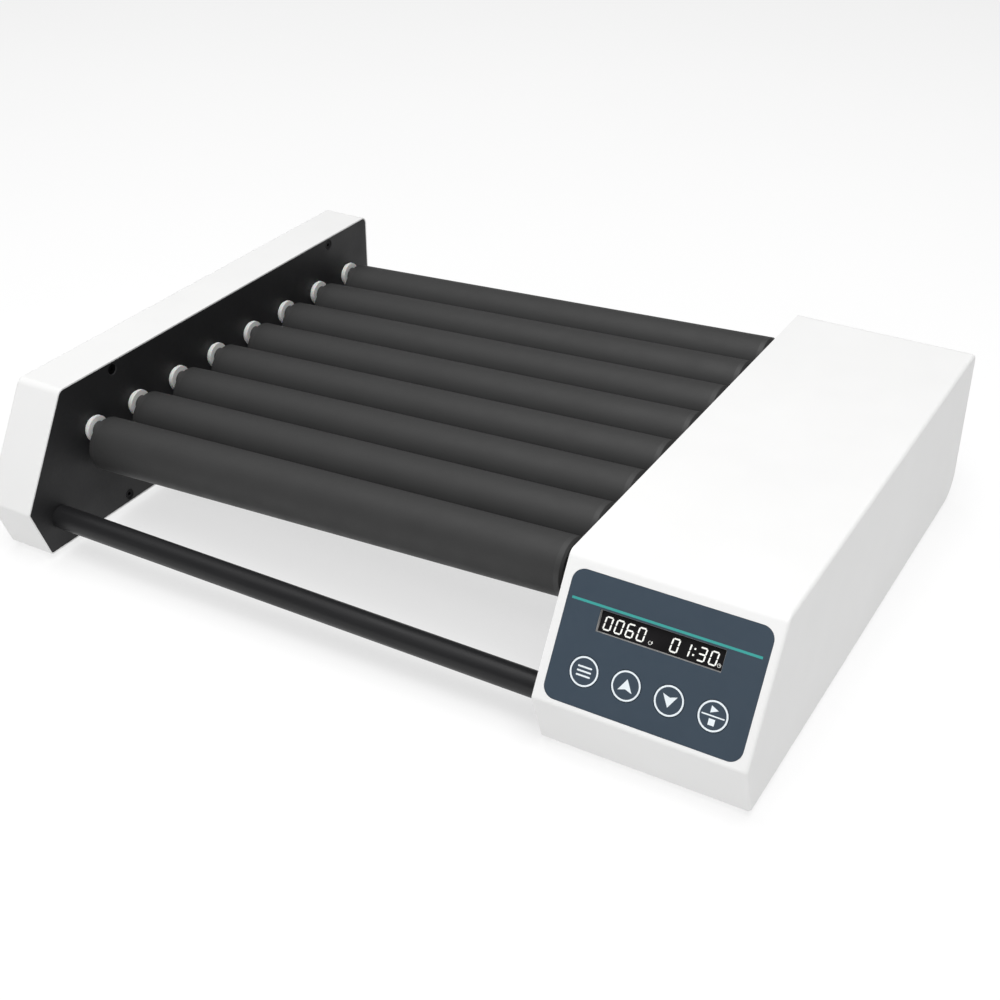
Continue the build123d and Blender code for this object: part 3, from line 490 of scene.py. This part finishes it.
def rectangle(width, height, v=0.0):
    return [(i * width / 2, v + j * height / 2) for i, j in ((-1, -1), (1, -1), (1, 1), (-1, 1))]


def circle(radius, u=0.0, v=0.0, count=96):
    turns = [2 * math.pi * index / count for index in range(count)]
    return [(u + radius * math.cos(turn), v + radius * math.sin(turn)) for turn in turns]


def ring(radius, width, u=0.0, v=0.0, count=96):
    return [circle(radius, u, v, count), circle(radius - width, u, v, count)]


def rounded_rectangle(width, height, radius, v=0.0, steps=8):
    points = []
    for quarter, (i, j) in enumerate(((1, 1), (-1, 1), (-1, -1), (1, -1))):
        for step in range(steps + 1):
            turn = math.pi / 2 * (quarter + step / steps)
            points.append((
                i * (width / 2 - radius) + radius * math.cos(turn),
                v + j * (height / 2 - radius) + radius * math.sin(turn),
            ))
    return points


def arrowhead(direction):
    """A notched arrowhead that points up or down."""
    points = [
        (0.0, ARROW_TIP_MM),
        (-ARROW_HALF_MM, ARROW_BASE_MM),
        (0.0, ARROW_NOTCH_MM),
        (ARROW_HALF_MM, ARROW_BASE_MM),
    ]
    return [(u, direction * v) for u, v in points]


def key_symbols():
    """The shapes inside each key's ring, in the keys' order."""
    play = [
        (-PLAY_HALF_MM, SYMBOL_RISE_MM - PLAY_HALF_MM),
        (PLAY_TIP_MM, SYMBOL_RISE_MM),
        (-PLAY_HALF_MM, SYMBOL_RISE_MM + PLAY_HALF_MM),
    ]
    stop = rectangle(STOP_SIZE_MM, STOP_SIZE_MM, -SYMBOL_RISE_MM)
    bars = [rounded_rectangle(*MENU_BAR_MM, MENU_BAR_CORNER_MM, step * MENU_STEP_MM) for step in (-1, 0, 1)]
    return {
        "menu": bars,
        "up": [arrowhead(1)],
        "down": [arrowhead(-1)],
        "start_stop": [rectangle(*DIVIDER_MM), play, stop],
    }


def add_key_prints(finishes):
    """A ring and a symbol on each of the four keys, left to right, which ride the keys."""
    symbols = key_symbols()
    middle = (len(symbols) - 1) / 2
    for index, (key_name, shapes) in enumerate(symbols.items()):
        place = panel_matrix((index - middle) * KEY_PITCH_MM, KEY_RISE_MM, OVERLAY_FACE_MM)
        outlines = ring(RING_RADIUS_MM, RING_WIDTH_MM) + shapes
        name, body = f"{key_name}_key_print", f"{key_name}_key_cap"
        add_mark(name, outlines, place, finishes["print_white"], body)


def add_panel_line(finishes):
    """The teal line across the overlay, over the display."""
    line = rectangle(LINE_RIGHT_MM - LINE_LEFT_MM, LINE_WIDTH_MM)
    place = panel_matrix((LINE_LEFT_MM + LINE_RIGHT_MM) / 2, LINE_RISE_MM, OVERLAY_FACE_MM)
    add_mark("panel_teal_line", [line], place, finishes["print_teal"], "frame")


# Display digits

def segment_outlines():
    """The seven segments of a digit, from its middle, by their usual letters."""
    half = SEGMENT_MM / 2
    gap = SEGMENT_GAP_MM / 2
    right, top = DIGIT_WIDTH_MM / 2 - half, DIGIT_HEIGHT_MM / 2 - half
    left, bottom = -right, -top

    def level(height):
        start, end = left + gap, right - gap
        return [(start, height), (start + half, height - half), (end - half, height - half),
                (end, height), (end - half, height + half), (start + half, height + half)]

    def upright(side, low, high):
        start, end = low + gap, high - gap
        return [(side, start), (side + half, start + half), (side + half, end - half),
                (side, end), (side - half, end - half), (side - half, start + half)]

    return {
        "a": level(top), "g": level(0.0), "d": level(bottom),
        "f": upright(left, 0.0, top), "b": upright(right, 0.0, top),
        "e": upright(left, bottom, 0.0), "c": upright(right, bottom, 0.0),
    }


def slanted(outlines, centre_u):
    """The outlines leaned to the right, as display digits are."""
    lean = math.tan(DIGIT_SLANT)
    return [[(u + centre_u + v * lean, v) for u, v in outline] for outline in outlines]


def number_outlines(digits, places):
    """The lit segments of all digits, each digit at its place."""
    segments = segment_outlines()
    outlines = []
    for digit, centre_u in zip(digits, places):
        outlines += slanted([segments[letter] for letter in LIT_SEGMENTS[digit]], centre_u)
    return outlines


def turn_icon(u, v):
    """A round arrow that stands for turning speed."""
    outer, inner = ICON_RADIUS_MM, ICON_RADIUS_MM - ICON_LINE_MM
    turns = [math.radians(angle) for angle in TURN_ICON_DEGREES]
    outside = [(outer * math.cos(turn), outer * math.sin(turn)) for turn in turns]
    inside = [(inner * math.cos(turn), inner * math.sin(turn)) for turn in reversed(turns)]
    barb, length = TURN_BARB_MM
    head = [(outer + barb, 0.0), ((outer + inner) / 2, length), (inner - barb, 0.0)]
    return [[(u + x, v + y) for x, y in outside + head + inside]]


def clock_icon(u, v):
    """A clock face that stands for running time."""
    reach = CLOCK_HAND_MM
    half = ICON_LINE_MM / 2
    hands = [(-half, -half), (reach, -half), (reach, half), (half, half), (half, reach), (-half, reach)]
    rim = ring(ICON_RADIUS_MM, ICON_LINE_MM, u, v, CLOCK_SIDES)
    return rim + [[(u + x, v + y) for x, y in hands]]


def add_window_gasket(finishes):
    """A grey foam frame that lines the display window, on the glass."""
    wall, height = GASKET_MM
    width, rise = [size - 2 * GASKET_GAP_MM for size in WINDOW_MM]
    outlines = [rectangle(width, rise), rectangle(width - 2 * wall, rise - 2 * wall)]
    place = panel_matrix(*WINDOW_MIDDLE_MM, GLASS_FACE_MM)
    add_mark("display_gasket", outlines, place, finishes["gasket_foam"], "frame", height)


def add_display_digits(finishes):
    """Speed and time in plain digits on the glass, with an icon for each unit."""
    place = panel_matrix(0.0, DIGIT_RISE_MM, GLASS_FACE_MM)
    dots = [rectangle(COLON_DOT_MM, COLON_DOT_MM, side * COLON_RISE_MM) for side in (-1, 1)]
    groups = {
        "display_speed_digits": ("segment_lit", number_outlines(SPEED_DIGITS, SPEED_PLACES_MM)),
        "display_time_digits": ("segment_lit", number_outlines(TIME_DIGITS, TIME_PLACES_MM)),
        "display_colon": ("segment_lit", slanted(dots, COLON_MM)),
        "display_speed_icon": ("icon_lit", turn_icon(*TURN_ICON_MM)),
        "display_time_icon": ("icon_lit", clock_icon(*CLOCK_ICON_MM)),
    }
    for name, (finish, outlines) in groups.items():
        add_mark(name, outlines, place, finishes[finish], "frame")


# Marks on the rear wall

def rocker_matrix(side):
    """From a mark's own millimetres to the middle of the rocker's upper or lower face."""
    out_mm = (ROCKER_EDGE_RISE_MM + ROCKER_MIDDLE_RISE_MM) / 2
    up_mm = ROCKER_HALF_LENGTH_MM / 2
    out_axis = Vector((0, math.cos(ROCKER_TILT), -math.sin(ROCKER_TILT)))
    up_axis = Vector((0, math.sin(ROCKER_TILT), math.cos(ROCKER_TILT)))
    lean = side * ROCKER_FACE_ANGLE
    face_up = math.cos(lean) * up_axis + math.sin(lean) * out_axis
    middle = ROCKER_PIVOT + MM * (out_mm * out_axis + side * up_mm * up_axis)
    return mark_matrix(middle, Vector((-1, 0, 0)), face_up)


def add_rocker_marks(finishes):
    """A bar for on, above, and a ring for off, below."""
    marks = {"rocker_on_mark": ([rectangle(*ON_BAR_MM)], 1), "rocker_off_mark": (ring(*OFF_RING_MM), -1)}
    for name, (outlines, side) in marks.items():
        add_mark(name, outlines, rocker_matrix(side), finishes["print_white"], "power_rocker")


def add_rating_label(finishes):
    """A satin label with a blank bordered field, ruled into rows."""
    width, height = LABEL_BORDER_MM
    rule = LABEL_RULE_MM
    right, up = Vector((-1, 0, 0)), Vector((0, 0, 1))
    ground = mark_matrix(LABEL_MIDDLE, right, up)
    face = mark_matrix(LABEL_MIDDLE + MM * PRINT_MM * right.cross(up), right, up)
    sheet = [rounded_rectangle(*LABEL_MM, LABEL_CORNER_MM)]
    row_height = (height - (LABEL_ROWS + 1) * rule) / LABEL_ROWS
    middle = (LABEL_ROWS - 1) / 2
    rows = [rectangle(width - 2 * rule, row_height, (row - middle) * (row_height + rule))
            for row in range(LABEL_ROWS)]
    add_mark("rating_label", sheet, ground, finishes["label_satin"], "frame")
    border = [rectangle(width, height)] + rows
    add_mark("rating_label_border", border, face, finishes["label_rule"], "frame")


finishes = make_finishes()
add_camera()
add_studio()
dress_cad_nodes(finishes)
add_panel_line(finishes)
add_key_prints(finishes)
add_window_gasket(finishes)
add_display_digits(finishes)
add_rocker_marks(finishes)
add_rating_label(finishes)
